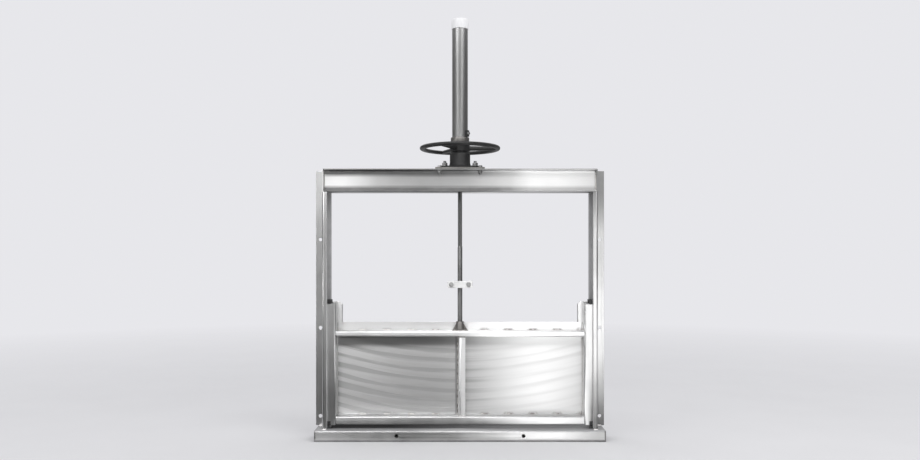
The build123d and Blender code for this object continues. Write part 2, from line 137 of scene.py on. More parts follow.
# Places of fasteners, and how far their threads stand proud
FOOT_STUD_X = 0.077
FOOT_STUD_Y = 0.036
FOOT_FLANGE = 0.008
FOOT_STUD_PROUD = 0.009
BASE_BOLT_X = 0.103
BASE_BOLT_INSET_FRONT = 0.022
BASE_BOLT_INSET_REAR = 0.02
BASE_BOLT_PROUD = 0.008
YOKE_SHEET = 0.006
CLAMP_BOLT_X = 0.044
CLAMP_LUG = 0.016
CLAMP_BOLT_PROUD = 0.004
LOCK_SCREW_ANGLE = math.radians(-40)
LOCK_SCREW_SEAT = 0.055

# Rounds on sharp edges, by material slot
EDGE_ROUND = {"stainless": 0.0009, "white_plastic": 0.0012, "black_plastic": 0.0015, "dark_casting": 0.0018}
ROUND_SEGMENTS = 2
ROUND_ANGLE = math.radians(40)
JOIN_GAP = 0.00001
SHARP_ANGLE = math.radians(35)
THREAD_SHARP_ANGLE = math.radians(50)

# Steel: stretch and depth of the grain, gloss, and the spans of noise that give tone and roughness
GRAIN_ACROSS = (5.0, 420.0, 420.0)
GRAIN_UP = (420.0, 420.0, 5.0)
ACROSS_TURN = 0.25
BRUSHED = 0.9
YOKE_BRUSHED = 0.4
TUBE_BRUSHED = 0.6
ROLLED = (0.32, 0.42)
DRAWN = (0.28, 0.3)
GRAIN_DEPTH = 0.0003
ROLLED_BUMP = 0.05
DRAWN_BUMP = 0.003
TUBE_BUMP = 0.002
PLATE_BUMP = 0.08
CLOUD_SHARE = 0.65
TONE_SPAN = (0.38, 0.62)
NOISE_SPAN = (0.35, 0.65)
WIDE_SPAN = (0.3, 0.7)
UNIT = (0, 1)

# Greys and roughness of dirt and painted shade, and of dust; greys of the seal's painted light and of painted
# highlights
DIRT_AND_SHADE_GREYS = (0.07, 0.22)
DIRT_AND_SHADE_ROUGH = 0.55
DUST_GREYS = (0.4, 0.56)
DUST_ROUGH = 0.8
SEAL_LIGHT_GREYS = (0.28, 0.4)
HIGHLIGHT_GREY = 0.95

# Where dark edges and feet, painted shade, dust, painted light and painted highlights lie: spans along X,
# spans off the edge of a node, and strengths
CUT_EDGE = (0.0, 0.0015)
CUT_EDGE_DARK = 0.6
YOKE_CORNER = (0.018, 0.036)
YOKE_CORNER_X = (0.12, 0.35)
YOKE_CORNER_SHADE = 0.95
YOKE_UNDER = (-0.040, -0.022)
YOKE_UNDER_X = (0.0, 0.33)
YOKE_UNDER_SHADOW = 0.75
YOKE_HIGHLIGHT_LEFT_X = (-0.58, -0.42)
YOKE_HIGHLIGHT_RIGHT_X = (0.26, 0.36)
YOKE_HIGHLIGHT_RIGHT = 0.6
RIB_FOOT = (0.008, 0.038)
RIB_FOOT_X = (0.12, 0.45)
RIB_FOOT_DARKENING = 0.85
RIB_HIGHLIGHT_X = (-0.5, -0.28)
SILL_FOOT_Z = (0.005, 0.013)
SILL_ENDS = (-0.009, -0.003)
SILL_EDGE_SHADE = 0.9
SILL_TOP = (-0.001, -0.0002)
SILL_TOP_DUST = 0.85
SILL_SHADE_X = -0.33
SILL_SHADE_REACH = (0.08, 0.3)
SILL_SHADE_LEFT = 0.36
GUIDE_FOOT = (0.05, 0.38)
GUIDE_FOOT_SHADE = 0.85
GUIDE_SHOULDER = (-0.2, 0.0)
GUIDE_SHOULDER_SHADOW = 0.65
GUIDE_SHADE_X = (0.645, 0.665)
GUIDE_HIGHLIGHT = (-0.02, 0.0)
GUIDE_HIGHLIGHT_X = (-0.1, 0.0)
SEAL_LIGHT_X = (-0.35, 0.3)

# Look of the plate: stretch of its bands, patches and fine grain along X and up, and the tone each gives; the
# waves and crests that follow the ripples are a painted reflection
BAND_STRETCH = (1.6, 42.0)
PATCH_STRETCH = (3.0, 16.0)
FINE_STRETCH = (6.0, 300.0)
BAND_WANDER = (-0.45, 0.45)
BAND_TONE = (-0.3, 0.3)
FINE_TONE = (-0.2, 0.2)
CREST_PATCH = (0.35, 0.62)
CREST_TONE = (-0.12, -0.5)
WAVE_TONE = -0.07
TONE_LIFT = 0.1
TONE_MIDDLE = 0.5

# Where the plate's tone, painted shade, painted shadow, painted highlight strip and heat tint lie, and how
# strong they are
PLATE_FRONT = (-0.004, -0.002)
TONE_X = (-0.25, 0.2)
TONE_ACROSS = (1.3, 0.15)
TONE_REAR = 0.4
TONE_UNDER = (-0.07, -0.04)
TONE_UNDER_RIB = 0.2
SHADE_END = -0.1
SHADE = 0.35
PAINTED_SHADOW_GREY = 0.24
SHADOW_UNDER = (-0.06, -0.03)
SHADOW_X = (-0.1, 0.1)
SHADOW_UNDER_RIB = 0.6
CORNER_INSET = 0.007
CORNER_REACH = (0.006, 0.010)
CORNER_SHADOW = 0.85
HIGHLIGHT_STRIP_LEFT_GREY = 0.58
HIGHLIGHT_STRIP_X = (-0.15, 0.05)
HIGHLIGHT_STRIP_EDGE = (-0.01, 0.01)
HIGHLIGHT_STRIP_EARS = (-0.01, 0.02)
TINT_GREY = (0.24, 0.012)
TINT_REACH = (0.003, 0.016)
TINT_PATCH = (0.35, 0.6)
TINT_PATCHY = (0.3, 0.8)
TINT_X = (-0.1, 0.2)
TINT_ACROSS = (0.3, 1)

# Look of the weld beads: paler on the left and at the far right
WELD_DARK = (0.16, 0.008)
WELD_PALE = (0.52, 0.01)
WELD_PATCH = (0.38, 0.6)
WELD_LEFT_X = (-0.6, 0.2)
WELD_LEFT = (0.7, -0.15)
WELD_RIGHT_X = (0.58, 0.62)
WELD_RIGHT = (0, 0.8)
WELD_ROUGH = (0.35, 0.6)
WELD_BUMP = 0.3
WELD_DEPTH = 0.0004

# Grain of paint, plastic and rubber
COATED_BUMP = 0.25

# Stainless nodes with upright grain, by the start of their names, and nodes with a finish of their own
UPRIGHT = ("wall_bar", "side_bar")
FINISH_BY_NODE = {
    "yoke_front": "steel_yoke",
    "guide_left": "steel_guide",
    "guide_right": "steel_guide",
    "wall_bar_right": "steel_guide",
    "side_bar_right": "steel_guide",
    "sill": "steel_sill",
    "top_rib": "steel_rib_painted_highlight",
    "bottom_rib": "steel_foot",
    "centre_rib": "steel_rib_painted_highlight",
    "base_plate": "steel_dull",
    "stem_foot": "steel_dull",
    "hood_collar": "steel_dull",
    "stop_clamp_front": "steel_clamp_painted_highlight",
    "stop_clamp_rear": "steel_clamp_painted_highlight",
}

# Studio: backdrop, floor, lamps and the planes on which the cards stand
STUDIO_COLOUR = (0.8, 0.8, 0.83, 1)
FLOOR_REACH = 12.0
FLOOR_FADE = (2.5, 8.0)
LAMP_AIM = (0, 0, 0.9)
KEY_LAMP = dict(place=(2.6, -3.6, 3.4), size=2.5, power=50)
FILL_LAMP = dict(place=(-2.8, -3.4, 2.6), size=2.0, power=16)
FRONT_Y = -7.0
FLOOR_Y = (FRONT_Y, -0.16)
SIDE_X = 7.5
REAR_Y = 6.0
WALL_TOP = 4.9
WALL_Z = (0.0, WALL_TOP)
BRIGHT_TOP = 2.6
BRIGHT_Z = (0.0, BRIGHT_TOP)
STRIP_Z = (BRIGHT_TOP, WALL_TOP)
SOFT_BOX_Z = (5.4, 9.0)
CARD_LIFT = 0.01
CARD_GAP = 0.1
CARD_END = 9.0
OVERHEAD_Y = 2
OVERHEAD_Z = 7


def add_camera():
    data = bpy.data.cameras.new("camera")
    data.sensor_width = SENSOR
    data.lens = SENSOR * FOCAL_PIXELS / PHOTO_WIDTH
    data.shift_y = HORIZON_BELOW_CENTRE / PHOTO_WIDTH
    camera = bpy.data.objects.new("camera", data)
    camera.location = CAMERA_PLACE
    camera.rotation_euler = (math.pi / 2, 0, 0)
    scene.collection.objects.link(camera)
    scene.camera = camera


def grey(level, warm=0.0):
    return (level + warm, level, level - warm, 1)


def off(base, span):
    """A span set off from a base."""
    return base + span[0], base + span[1]


class Shader:
    """A Principled material, with short calls for the nodes that its finish needs."""

    def __init__(self, name):
        self.material = bpy.data.materials.new(name)
        self.material.use_nodes = True
        self.tree = self.material.node_tree
        self.surface = self.tree.nodes["Principled BSDF"]
        self.place = self.node("ShaderNodeTexCoord").outputs["Object"]

    def node(self, kind, **settings):
        made = self.tree.nodes.new(kind)
        for key, value in settings.items():
            setattr(made, key, value)
        return made

    def link(self, value, socket):
        if isinstance(value, bpy.types.NodeSocket):
            self.tree.links.new(value, socket)
        else:
            socket.default_value = value

    def set(self, **values):
        for key, value in values.items():
            self.link(value, self.surface.inputs[key.replace("_", " ")])

    def math(self, operation, a, b=0.0):
        made = self.node("ShaderNodeMath", operation=operation)
        self.link(a, made.inputs[0])
        self.link(b, made.inputs[1])
        return made.outputs[0]

    def plus(self, a, b):
        return self.math("ADD", a, b)

    def minus(self, a, b):
        return self.math("SUBTRACT", a, b)

    def times(self, a, b):
        return self.math("MULTIPLY", a, b)

    def most(self, a, b):
        return self.math("MAXIMUM", a, b)

    def apart(self, a, b):
        return self.math("ABSOLUTE", self.minus(a, b))

    def blend(self, a, b, share):
        return self.plus(self.times(a, share), self.times(b, 1 - share))

    def axes(self):
        made = self.node("ShaderNodeSeparateXYZ")
        self.link(self.place, made.inputs[0])
        return made.outputs[0], made.outputs[1], made.outputs[2]

    def vector(self, x, y, z):
        made = self.node("ShaderNodeCombineXYZ")
        for socket, value in zip(made.inputs, (x, y, z)):
            self.link(value, socket)
        return made.outputs[0]

    def stretched(self, scale):
        made = self.node("ShaderNodeMapping")
        made.inputs["Scale"].default_value = scale
        self.link(self.place, made.inputs["Vector"])
        return made.outputs[0]

    def noise(self, vector, scale=1.0, detail=3.0, rough=0.5):
        made = self.node("ShaderNodeTexNoise")
        made.inputs["Scale"].default_value = scale
        made.inputs["Detail"].default_value = detail
        made.inputs["Roughness"].default_value = rough
        self.link(vector, made.inputs["Vector"])
        return made.outputs["Fac"]

    def spread(self, value, span, ends):
        """Map a span of the value on to the two ends, and hold it at each of them."""
        made = self.node("ShaderNodeMapRange")
        keys = ("Value", "From Min", "From Max", "To Min", "To Max")
        for key, number in zip(keys, (value, *span, *ends)):
            self.link(number, made.inputs[key])
        return made.outputs[0]

    def mix(self, factor, a, b):
        made = self.node("ShaderNodeMix", data_type="RGBA")
        self.link(factor, made.inputs[0])
        self.link(a, made.inputs[6])
        self.link(b, made.inputs[7])
        return made.outputs[2]

    def greys(self, factor, levels):
        return self.mix(factor, grey(levels[0]), grey(levels[1]))

    def bump(self, height, strength, distance):
        made = self.node("ShaderNodeBump")
        made.inputs["Strength"].default_value = strength
        made.inputs["Distance"].default_value = distance
        self.link(height, made.inputs["Height"])
        self.link(made.outputs[0], self.surface.inputs["Normal"])

    def brush(self, amount, turn):
        """Stretch the gloss across the grain: turn is a share of a full turn from level."""
        made = self.node("ShaderNodeTangent", direction_type="RADIAL", axis="Z")
        self.link(made.outputs[0], self.surface.inputs["Tangent"])
        self.set(Anisotropic=amount, Anisotropic_Rotation=turn)


def yoke_cut_edge_and_painted_shade(s):
    """Dull cut edges in front, painted shade over the lower flange, and a painted shadow under the upper one
    on the left.
    """
    x, y, z = s.axes()
    low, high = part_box("yoke_front")
    cut = s.spread(y, off(low.y, CUT_EDGE), (CUT_EDGE_DARK, 0))
    # painted shade on the web just over the lower flange, strongest on the left
    corner = s.spread(z, off(low.z, YOKE_CORNER), (YOKE_CORNER_SHADE, 0))
    corner = s.times(corner, s.spread(x, YOKE_CORNER_X, (1, 0.5)))
    # painted shadow under the upper flange, fading out towards the right
    under = s.spread(z, off(high.z, YOKE_UNDER), (0, YOKE_UNDER_SHADOW))
    under = s.times(under, s.spread(x, YOKE_UNDER_X, (1, 0)))
    return s.most(cut, s.most(corner, under))


def yoke_painted_highlight(s):
    """Painted highlight: the yoke lighter towards both ends."""
    x = s.axes()[0]
    left = s.spread(x, YOKE_HIGHLIGHT_LEFT_X, (1, 0))
    return s.plus(left, s.spread(x, YOKE_HIGHLIGHT_RIGHT_X, (0, YOKE_HIGHLIGHT_RIGHT)))


def rib_foot_darkening(s):
    """Darker along the foot of the bottom rib, most on the left."""
    x, y, z = s.axes()
    foot = s.spread(z, off(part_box("bottom_rib")[0].z, RIB_FOOT), (RIB_FOOT_DARKENING, 0))
    return s.times(foot, s.spread(x, RIB_FOOT_X, (1, 0)))


def rib_painted_highlight(s):
    """Painted highlight: the top rib lighter, but for its left end."""
    return s.spread(s.axes()[0], RIB_HIGHLIGHT_X, UNIT)


def sill_painted_shade(s):
    """Painted shade: darker lower edge and ends, and a wide faint darkening on the left."""
    x, y, z = s.axes()
    foot = s.spread(z, SILL_FOOT_Z, (SILL_EDGE_SHADE, 0))
    ends = s.spread(s.math("ABSOLUTE", x), off(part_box("sill")[1].x, SILL_ENDS), (0, SILL_EDGE_SHADE))
    left_shade = s.spread(s.apart(x, SILL_SHADE_X), SILL_SHADE_REACH, (SILL_SHADE_LEFT, 0))
    return s.most(left_shade, s.most(foot, ends))


def sill_dust(s):
    """Pale deposit that has settled on the sill's top."""
    x, y, z = s.axes()
    return s.spread(z, off(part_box("sill")[1].z, SILL_TOP), (0, SILL_TOP_DUST))


def guide_painted_shade(s):
    """Painted shade: darker foot and shoulder of the right upright."""
    x, y, z = s.axes()
    foot = s.spread(z, off(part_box("sill")[1].z, GUIDE_FOOT), (GUIDE_FOOT_SHADE, 0))
    shoulder = s.spread(z, off(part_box("yoke_front")[0].z, GUIDE_SHOULDER), (0, GUIDE_SHOULDER_SHADOW))
    return s.times(s.most(foot, shoulder), s.spread(x, GUIDE_SHADE_X, UNIT))


def guide_painted_highlight(s):
    """Painted highlight: the left guide lighter beside the yoke."""
    x, y, z = s.axes()
    beside = s.spread(z, off(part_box("yoke_front")[0].z, GUIDE_HIGHLIGHT), UNIT)
    return s.times(beside, s.spread(x, GUIDE_HIGHLIGHT_X, (1, 0)))


def seal_painted_light(s):
    """Painted light: the sill seal paler towards the right."""
    return s.spread(s.axes()[0], SEAL_LIGHT_X, UNIT)


def steel(name, grain, dark, pale, rough, brushed=0.0, dirt_and_shade=None, dust_and_light=None, painted_highlight=None, fleck=ROLLED_BUMP):
    """Rolled sheet or bar: cloudy tone, streaks along the grain and a dull smear here and there.

    Where they are given, three masks say how dull and dark each place is, from dirt and from painted shade,
    how much pale deposit lies on it, and how far a painted highlight lightens it.
    """
    s = Shader(name)
    streaks = s.noise(s.stretched(grain), detail=4.0, rough=0.6)
    clouds = s.noise(s.place, scale=5.0, detail=4.0)
    smears = s.noise(s.place, scale=17.0)
    tone = s.blend(clouds, streaks, CLOUD_SHARE)
    colour = s.mix(s.spread(tone, TONE_SPAN, UNIT), dark, pale)
    roughness = s.spread(s.blend(streaks, smears, 0.5), NOISE_SPAN, rough)
    metal = 1.0
    # painted highlight: lighter colour where that mask is given
    if painted_highlight:
        colour = s.mix(painted_highlight(s), colour, s.mix(tone, pale, grey(HIGHLIGHT_GREY)))
    # dirt and painted shade: darker, duller colour where that mask is given
    if dirt_and_shade:
        dark_mark = dirt_and_shade(s)
        colour = s.mix(dark_mark, colour, s.greys(smears, DIRT_AND_SHADE_GREYS))
        roughness = s.most(roughness, s.times(dark_mark, DIRT_AND_SHADE_ROUGH))
    if dust_and_light:
        settled = dust_and_light(s)
        colour = s.mix(settled, colour, s.greys(clouds, DUST_GREYS))
        roughness = s.most(roughness, s.times(settled, DUST_ROUGH))
        metal = s.minus(1.0, settled)
    s.set(Base_Color=colour, Metallic=metal, Roughness=roughness)
    s.bump(streaks, fleck, GRAIN_DEPTH)
    s.brush(brushed, ACROSS_TURN if grain is GRAIN_ACROSS else 0.0)
    return s.material


def plate_front(s, rear):
    """1 on the plate's front face, and less at its back."""
    x, y, z = s.axes()
    return s.spread(y, off(PLATE_BACK_Y, PLATE_FRONT), (1, rear))


def rolled_noise(s, bowed, stretch, detail, rough):
    """Noise drawn out along the plate's rolling bands."""
    x, y, z = s.axes()
    place = s.vector(s.times(x, stretch[0]), y, s.times(bowed, stretch[1]))
    return s.noise(place, 1.0, detail, rough)


def plate_tone(s):
    """Tone of the plate's rolling bands, and the fine grain along them, all shown strongest on the left; the
    waves that follow the ripples are a painted reflection.
    """
    x, y, z = s.axes()
    bowed = s.minus(z, s.times(s.times(x, x), RIPPLE_BOW))
    bands = rolled_noise(s, bowed, BAND_STRETCH, 2.5, 0.5)
    patches = rolled_noise(s, bowed, PATCH_STRETCH, 2.0, 0.5)
    fine = rolled_noise(s, bowed, FINE_STRETCH, 3.0, 0.6)
    turns = s.math("DIVIDE", s.minus(bowed, RIPPLE_TROUGH), RIPPLE_LENGTH)
    turns = s.plus(turns, s.spread(bands, UNIT, BAND_WANDER))
    # painted reflection of the ripples: the tone rises and falls with them
    wave = s.math("COSINE", s.times(turns, 2 * math.pi))
    crest = s.times(s.most(wave, 0.0), s.spread(patches, CREST_PATCH, CREST_TONE))
    tone = s.plus(s.spread(bands, UNIT, BAND_TONE), s.spread(fine, UNIT, FINE_TONE))
    tone = s.plus(tone, s.plus(crest, s.times(wave, WAVE_TONE)))
    tone = s.plus(tone, TONE_LIFT)
    shown = s.times(s.spread(x, TONE_X, TONE_ACROSS), plate_front(s, TONE_REAR))
    shown = s.times(shown, s.spread(z, off(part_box("top_rib")[0].z, TONE_UNDER), (1, TONE_UNDER_RIB)))
    return s.plus(s.times(tone, shown), TONE_MIDDLE), fine


def plate_painted_shadow(s):
    """Painted shadow under the top rib on the left, and in the corner left of the centre rib."""
    x, y, z = s.axes()
    under = s.spread(z, off(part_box("top_rib")[0].z, SHADOW_UNDER), (0, SHADOW_UNDER_RIB))
    under = s.times(under, s.spread(x, SHADOW_X, (1, 0)))
    gap = s.apart(x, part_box("centre_rib")[0].x - CORNER_INSET)
    shadow_mask = s.most(under, s.spread(gap, CORNER_REACH, (CORNER_SHADOW, 0)))
    return s.times(shadow_mask, plate_front(s, 0))


def heat_tint(s):
    """Heat tint round the stitch welds over both ribs, stronger on the right."""
    x, y, z = s.axes()
    along = s.most(s.minus(s.math("PINGPONG", x, STITCH_PITCH / 2), STITCH / 2), 0.0)
    near = []
    for rib in ("top_rib", "bottom_rib"):
        across = s.apart(z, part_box(rib)[1].z)
        near.append(s.spread(s.plus(along, across), TINT_REACH, (1, 0)))
    mottle = s.noise(s.place, scale=90.0)
    tint = s.times(s.most(*near), s.spread(mottle, TINT_PATCH, TINT_PATCHY))
    return s.times(s.times(tint, plate_front(s, 0)), s.spread(x, TINT_X, TINT_ACROSS))


def plate_steel(name, dark, pale, strip_highlight_grey, rough):
    """Gate plate: rolling bands, painted shade above the bottom rib, painted shadow, heat tint and a painted
    highlight strip at the top.
    """
    s = Shader(name)
    x, y, z = s.axes()
    top_rib, bottom_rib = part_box("top_rib"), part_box("bottom_rib")
    tone, fine = plate_tone(s)
    colour = s.mix(s.spread(tone, WIDE_SPAN, UNIT), dark, pale)
    # painted shade: darker towards the bottom rib
    shade = s.spread(z, (bottom_rib[1].z, top_rib[0].z + SHADE_END), (SHADE, 0))
    colour = s.mix(shade, colour, dark)
    # painted shadow under the top rib and beside the centre rib
    colour = s.mix(plate_painted_shadow(s), colour, grey(PAINTED_SHADOW_GREY))
    # painted highlight: a lighter strip above the top rib and on the ears, greyer on the left
    highlight_strip = s.mix(s.spread(x, HIGHLIGHT_STRIP_X, UNIT), grey(HIGHLIGHT_STRIP_LEFT_GREY), strip_highlight_grey)
    highlight_strip = s.mix(s.spread(z, off(GATE_TOP, HIGHLIGHT_STRIP_EARS), UNIT), highlight_strip, strip_highlight_grey)
    colour = s.mix(s.spread(z, off(top_rib[1].z, HIGHLIGHT_STRIP_EDGE), UNIT), colour, highlight_strip)
    s.set(Base_Color=s.mix(heat_tint(s), colour, grey(*TINT_GREY)), Metallic=1.0)
    s.set(Roughness=s.spread(tone, WIDE_SPAN, rough))
    s.bump(fine, PLATE_BUMP, GRAIN_DEPTH)
    s.brush(BRUSHED, ACROSS_TURN)
    return s.material


def weld_metal(name):
    """Weld bead: dull straw and grey oxide in patches, paler on the left and at the far right."""
    s = Shader(name)
    x = s.axes()[0]
    patches = s.noise(s.place, scale=60.0, detail=4.0)
    ripple = s.noise(s.place, scale=700.0, detail=2.0)
    ends = s.plus(s.spread(x, WELD_LEFT_X, WELD_LEFT), s.spread(x, WELD_RIGHT_X, WELD_RIGHT))
    tone = s.plus(s.spread(patches, WELD_PATCH, UNIT), ends)
    s.set(Base_Color=s.mix(tone, grey(*WELD_DARK), grey(*WELD_PALE)), Metallic=1.0)
    s.set(Roughness=s.spread(patches, NOISE_SPAN, WELD_ROUGH))
    s.bump(ripple, WELD_BUMP, WELD_DEPTH)
    return s.material


def coated(name, dark, pale, rough, grain_scale, grain_depth, shine=0.5, dust_and_light=None):
    """Paint, plastic or rubber: a cloudy tone and a fine surface grain, and painted light where it is given.
    """
    s = Shader(name)
    clouds = s.noise(s.place, scale=11.0, detail=4.0)
    grain = s.noise(s.place, scale=grain_scale)
    colour = s.mix(s.spread(clouds, NOISE_SPAN, UNIT), dark, pale)
    # painted light: paler greys where that mask is given
    if dust_and_light:
        colour = s.mix(dust_and_light(s), colour, s.greys(clouds, SEAL_LIGHT_GREYS))
    s.set(Base_Color=colour, Metallic=0.0)
    s.set(Roughness=s.spread(clouds, WIDE_SPAN, rough))
    s.set(Specular_IOR_Level=shine)
    s.bump(grain, COATED_BUMP, grain_depth)
    return s.material


FINISH = {
    "steel_across": steel("steel_across", GRAIN_ACROSS, grey(0.52), grey(0.66), ROLLED, BRUSHED),
    # painted highlight: a lighter copy of the sheet steel for the top and centre ribs
    "steel_rib_painted_highlight": steel(
        "steel_rib_painted_highlight", GRAIN_ACROSS, grey(0.58), grey(0.72), ROLLED, BRUSHED, painted_highlight=rib_painted_highlight),
    # yoke: painted shade and painted highlights on the sheet steel
    "steel_yoke": steel(
        "steel_yoke", GRAIN_ACROSS, grey(0.55), grey(0.63), DRAWN, YOKE_BRUSHED,
        dirt_and_shade=yoke_cut_edge_and_painted_shade, painted_highlight=yoke_painted_highlight, fleck=DRAWN_BUMP),
    "steel_foot": steel(
        "steel_foot", GRAIN_ACROSS, grey(0.52), grey(0.66), ROLLED, BRUSHED, dirt_and_shade=rib_foot_darkening),
    # sill: painted shade along its lower edge, ends and left side, and real dust on top
    "steel_sill": steel(
        "steel_sill", GRAIN_ACROSS, grey(0.44), grey(0.58), ROLLED, BRUSHED,
        dirt_and_shade=sill_painted_shade, dust_and_light=sill_dust),
    "steel_up": steel("steel_up", GRAIN_UP, grey(0.52), grey(0.66), DRAWN, fleck=DRAWN_BUMP),
    # uprights: painted shade on the right one and a painted highlight on the left one
    "steel_guide": steel(
        "steel_guide", GRAIN_UP, grey(0.52), grey(0.66), DRAWN,
        dirt_and_shade=guide_painted_shade, painted_highlight=guide_painted_highlight, fleck=DRAWN_BUMP),
    "steel_plate": plate_steel("steel_plate", grey(0.4), grey(0.68), grey(0.74), (0.44, 0.34)),
    "steel_dull": steel("steel_dull", GRAIN_UP, grey(0.14, 0.006), grey(0.27, 0.009), (0.38, 0.55)),
    # painted highlight: a much lighter copy of the sheet steel for the stop clamp
    "steel_clamp_painted_highlight": steel("steel_clamp_painted_highlight", GRAIN_ACROSS, grey(0.76), grey(0.9), ROLLED, BRUSHED),
    "fastener": steel("fastener", GRAIN_UP, grey(0.3), grey(0.5), (0.3, 0.45)),
    "stem_steel": steel("stem_steel", GRAIN_UP, grey(0.12), grey(0.22), (0.35, 0.55)),
    "tube_steel": steel("tube_steel", GRAIN_UP, grey(0.42), grey(0.5), DRAWN, TUBE_BRUSHED, fleck=TUBE_BUMP),
    "weld": weld_metal("weld"),
    "dark_casting": coated("dark_casting", grey(0.012), grey(0.024), (0.35, 0.5), 190.0, 0.0006, shine=0.3),
    "white_plastic": coated("white_plastic", grey(0.84), grey(0.9), (0.35, 0.5), 900.0, 0.0001),
    "black_plastic": coated("black_plastic", grey(0.018), grey(0.035), (0.45, 0.65), 700.0, 0.0002),
    # seal: painted light, paler towards the right
    "black_rubber": coated(
        "black_rubber", grey(0.03), grey(0.05), (0.6, 0.85), 500.0, 0.0003, dust_and_light=seal_painted_light),
    "grey_rubber": coated("grey_rubber", grey(0.32), grey(0.42), (0.6, 0.8), 500.0, 0.0003),
    "bronze": steel("bronze", GRAIN_UP, (0.4, 0.27, 0.11, 1), (0.6, 0.42, 0.2, 1), (0.3, 0.45)),
}


def finish_of(node, slot):
    if node in FINISH_BY_NODE:
        return FINISH_BY_NODE[node]
    if slot != "stainless":
        return slot
    return "steel_up" if node.startswith(UPRIGHT) else "steel_across"


def round_edges(piece, width, harden):
    edge = piece.modifiers.new("round", "BEVEL")
    edge.width = width
    edge.segments = ROUND_SEGMENTS
    edge.limit_method = "ANGLE"
    edge.angle_limit = ROUND_ANGLE
    edge.harden_normals = harden


def dress_node(node, slot):
    """Finish on a node, and a small round on its sharp edges."""
    piece = nodes[node]
    piece.data.materials.clear()
    piece.data.materials.append(FINISH[finish_of(node, slot)])
    if slot in EDGE_ROUND and node != "handwheel":
        join = piece.modifiers.new("join", "WELD")
        join.merge_threshold = JOIN_GAP
        round_edges(piece, EDGE_ROUND[slot], True)


class Shape:
    """Points and faces of one piece, gathered from several closed skins."""

    def __init__(self):
        self.points = []
        self.faces = []

    def add(self, points, faces):
        start = len(self.points)
        self.points.extend(points)
        self.faces.extend([start + i for i in face] for face in faces)

    def loft(self, rings):
        """Closed skin over rings of equal length, both ends capped."""
        count = len(rings[0])
        faces = []
        for r in range(len(rings) - 1):
            for i in range(count):
                j = (i + 1) % count
                low, high = r * count, (r + 1) * count
                faces.append((low + i, low + j, high + j, high + i))
        last = (len(rings) - 1) * count
        faces.append(tuple(reversed(range(count))))
        faces.append(tuple(range(last, last + count)))
        self.add([point for one in rings for point in one], faces)

    def piece(self, name, body, slot, finish, sharp=SHARP_ANGLE):
        mesh = bpy.data.meshes.new(name)
        mesh.from_pydata(self.points, [], self.faces)
        skin = bmesh.new()
        skin.from_mesh(mesh)
        bmesh.ops.recalc_face_normals(skin, faces=skin.faces)
        skin.to_mesh(mesh)
        skin.free()
        mesh.shade_smooth()
        mesh.set_sharp_from_angle(angle=sharp)
        mesh.materials.append(FINISH[finish])
        made = bpy.data.objects.new(name, mesh)
        scene.collection.objects.link(made)
        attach(made, body)
        return made


def evenly(low, high, step):
    count = max(1, round((high - low) / step))
    return [low + (high - low) * i / count for i in range(count + 1)]


def plate_wave(x, z, cells, low_z, high_z):
    """How far the plate stands out at a point: a shallow dish between the ribs, and rolling ripples."""
    for left, right in cells:
        if left < x < right and low_z < z < high_z:
            u = (x - left) / (right - left)
            v = (z - low_z) / (high_z - low_z)
            hold = math.sin(math.pi * u) * math.sin(math.pi * v)
            phase = (z - RIPPLE_BOW * x * x - RIPPLE_TROUGH) / RIPPLE_LENGTH
            phase += RIPPLE_WANDER * noise.noise((x * 3, z * 4, 0.5))
            return DISH * hold - RIPPLE * math.cos(2 * math.pi * phase) * min(1.0, RIPPLE_ONSET * hold)
    return 0.0


def add_gate_plate():
    """Skin of the gate plate: two waved faces on one grid, the edges between them, and a lip on each ear."""
    low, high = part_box("gate_plate")
    top_rib, bottom_rib, centre_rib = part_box("top_rib"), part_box("bottom_rib"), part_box("centre_rib")
    ear_in = high.x - EAR_WIDTH
    cells = ((top_rib[0].x, centre_rib[0].x), (centre_rib[1].x, top_rib[1].x))
    half = evenly(0, ear_in, PLATE_STEP_X) + [ear_in + EAR_CUT]
    half += evenly(ear_in + 2 * EAR_CUT, high.x, PLATE_STEP_X)
    xs = [-x for x in reversed(half[1:])] + half
    zs = evenly(low.z, GATE_TOP, PLATE_STEP_Z)
    zs += evenly(GATE_TOP, high.z - EAR_CUT, PLATE_STEP_Z)[1:] + [high.z]
    shape = Shape()
    front, faces, borders = {}, [], {}

    def corner(i, j):
        if (i, j) not in front:
            out = plate_wave(xs[i], zs[j], cells, bottom_rib[1].z, top_rib[0].z)
            front[i, j] = len(shape.points)
            shape.points.append((xs[i], PLATE_FACE_Y - out, zs[j]))
            shape.points.append((xs[i], PLATE_BACK_Y - out, zs[j]))
        return front[i, j]

    for i in range(len(xs) - 1):
        middle = abs(xs[i] + xs[i + 1]) / 2
        for j in range(len(zs) - 1):
            above = zs[j] >= GATE_TOP - GRID_SLACK
            if above and middle < ear_in:
                continue
            ring = [(i, j), (i + 1, j), (i + 1, j + 1), (i, j + 1)]
            if j == len(zs) - 2 and middle < ear_in + EAR_CUT:
                ring.remove((i, j + 1) if xs[i] > 0 else (i + 1, j + 1))
            faces.append([corner(*place) for place in ring])
    for face in faces:
        for a, b in zip(face, face[1:] + face[:1]):
            borders[a, b] = True
    shape.faces = faces + [[i + 1 for i in reversed(face)] for face in faces]
    for a, b in borders:
        if (b, a) not in borders:
            shape.faces.append([b, a, a + 1, b + 1])
    lip_y = PLATE_FACE_Y - EAR_LIP
    for side in (-1, 1):
        inner, outer = side * ear_in, side * (ear_in + EAR_LIP_THICK)
        section = [(inner, PLATE_FACE_Y), (outer, PLATE_FACE_Y), (outer, lip_y), (inner, lip_y)]
        shape.loft([[(x, y, z) for x, y in section] for z in (GATE_TOP, high.z - EAR_CUT)])
    plate = shape.piece("gate_skin", "gate", "stainless", "steel_plate")
    round_edges(plate, EDGE_ROUND["stainless"], False)
    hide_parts("gate_plate")


